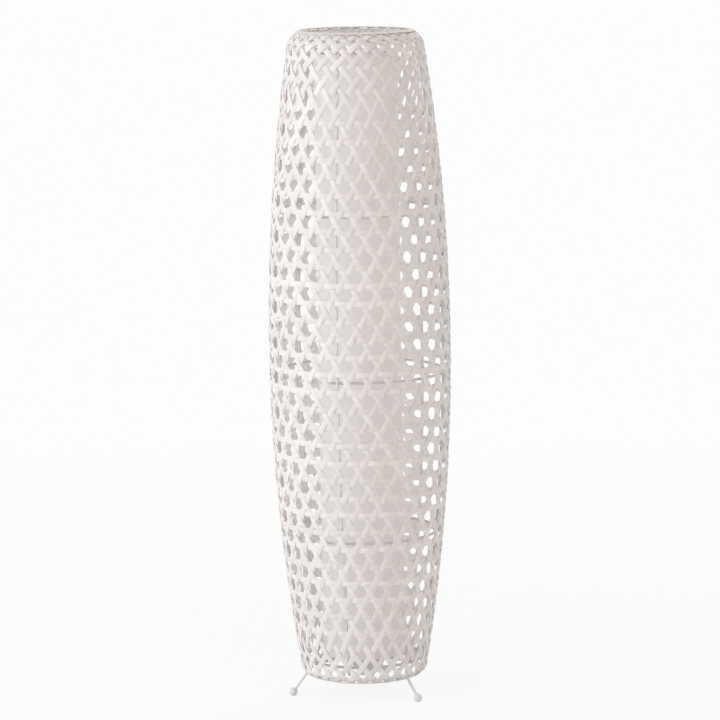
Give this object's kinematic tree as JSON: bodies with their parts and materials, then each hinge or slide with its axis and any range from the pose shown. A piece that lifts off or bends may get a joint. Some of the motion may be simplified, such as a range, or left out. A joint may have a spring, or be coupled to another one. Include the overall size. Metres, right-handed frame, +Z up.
{
  "type": "floor lamp",
  "caption": "Tall barrel-shaped floor lamp of white open hexagonal bamboo weave on a wire frame with short ball-tipped legs, inner diffuser tube and screw-in bulb.",
  "frame": {"origin": "centre of the foot circle on the floor", "axes": "+Z up along the lamp's axis, front rib at -Y, +X to the right seen from the front"},
  "size_m": [0.274, 0.274, 0.9999],
  "materials": {
    "bamboo": "white painted",
    "frame_paint": "white powder coat",
    "foot_plastic": "satin",
    "diffuser_film": "matte",
    "holder_plastic": "satin",
    "contact_ceramic": "matte",
    "brass": "plain",
    "steel": "plain",
    "bulb_black": "gloss",
    "bulb_metal": "plain",
    "bulb_white": "satin",
    "bulb_opal": "opal"
  },
  "bodies": {
    "lamp": {"weave_right_strips": "bamboo", "weave_left_strips": "bamboo", "weave_hoops": "bamboo", "frame_bottom_ring": "frame_paint", "frame_lower_ring": "frame_paint", "frame_middle_ring": "frame_paint", "frame_upper_ring": "frame_paint", "frame_top_ring": "frame_paint", "rib_front": "frame_paint", "rib_back_right": "frame_paint", "rib_back_left": "frame_paint", "leg_front_right": "frame_paint", "leg_back": "frame_paint", "leg_front_left": "frame_paint", "spider_spokes": "frame_paint", "gallery_plate": "frame_paint", "diffuser_bottom_ring": "frame_paint", "diffuser_top_ring": "frame_paint", "diffuser_top_spokes": "frame_paint", "foot_front_right": "foot_plastic", "foot_back": "foot_plastic", "foot_front_left": "foot_plastic", "holder_sleeve": "holder_plastic", "holder_cap": "holder_plastic", "shade_ring": "holder_plastic", "cord_grip": "holder_plastic", "diffuser_sheet": "diffuser_film", "contact_block": "contact_ceramic", "terminal_screws": "steel", "cord_grip_screw": "holder_plastic", "centre_contact": "brass", "screw_shell": "brass"},
    "bulb_tip": {"bulb_contact": "steel", "bulb_insulator": "bulb_black"},
    "bulb": {"bulb_screw_cap": "bulb_metal", "bulb_collar": "bulb_white", "bulb_led_board": "bulb_white", "bulb_globe": "bulb_opal"}
  },
  "joints": [
    {"name": "bulb_lift", "type": "slide", "parent": "lamp", "child": "bulb_tip", "axis": [0, 0, 1], "range_m": [0, 0.00905]},
    {"name": "bulb_turn", "type": "hinge", "parent": "bulb_tip", "child": "bulb", "pos_m": [0, 0, 0.085], "axis": [0, 0, 1], "range_deg": [0, 900]}
  ],
  "couplings": [
    {"joint": "bulb_lift", "follows": "bulb_turn", "m_per_rad": 0.000576}
  ]
}
